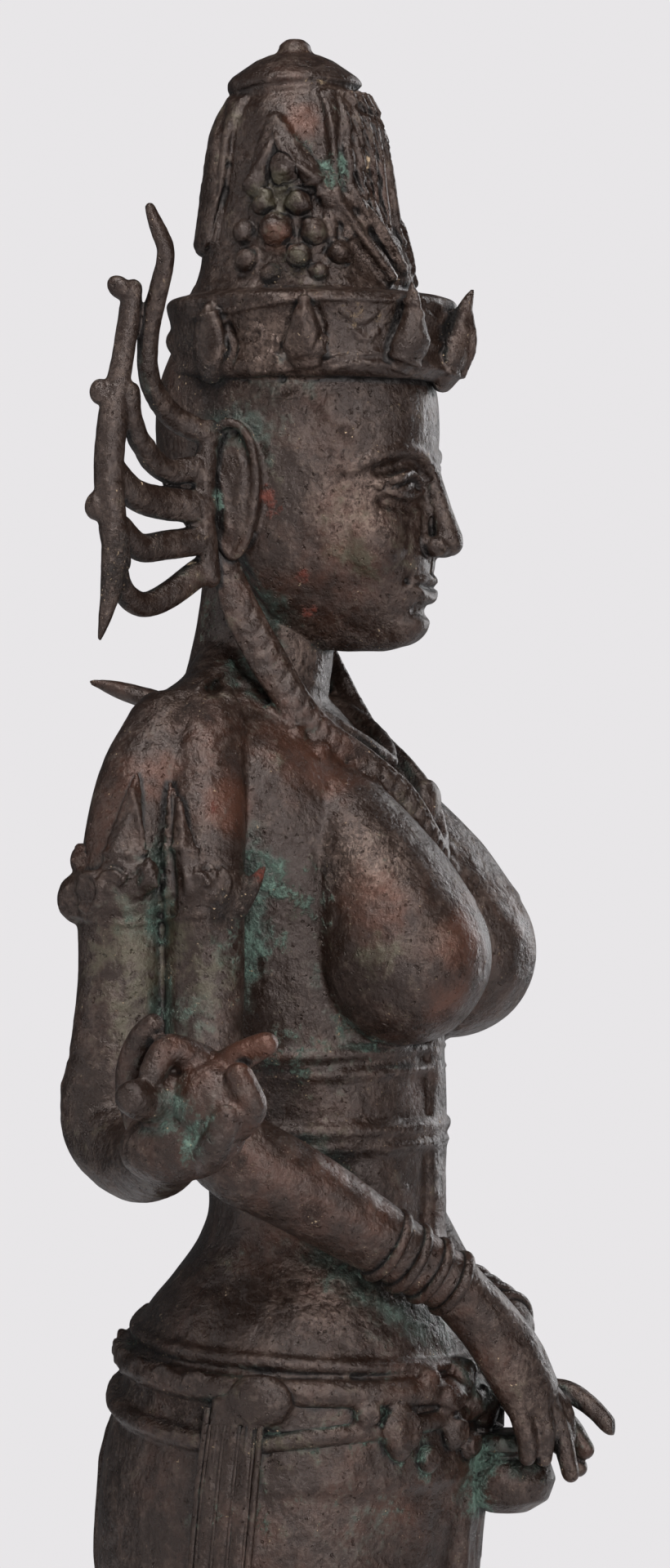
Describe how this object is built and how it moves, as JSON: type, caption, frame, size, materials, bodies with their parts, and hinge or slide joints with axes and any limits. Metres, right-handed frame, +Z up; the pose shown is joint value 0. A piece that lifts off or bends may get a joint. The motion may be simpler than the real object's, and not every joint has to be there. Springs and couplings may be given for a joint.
{
  "type": "standing four-armed goddess statue",
  "caption": "Dark bronze statue of a standing four-armed goddess with tall dressed hair, openwork ear ornaments, a small pot in her front hands and a low lotus base.",
  "frame": {"origin": "middle of the lotus base's underside, on the surface it stands on", "axes": "+Z up, she faces -Y, her right side is at -X"},
  "size_m": [0.2569, 0.1526, 0.7004],
  "materials": {
    "dark_bronze": "cast copper alloy with a dark brown patina, verdigris in its hollows and pale residue in its seams",
    "base_bronze": "the same dark patinated copper alloy, duller, with verdigris between its petals"
  },
  "bodies": {
    "root": {"figure": "dark_bronze", "lotus_base": "base_bronze"}
  },
  "joints": []
}
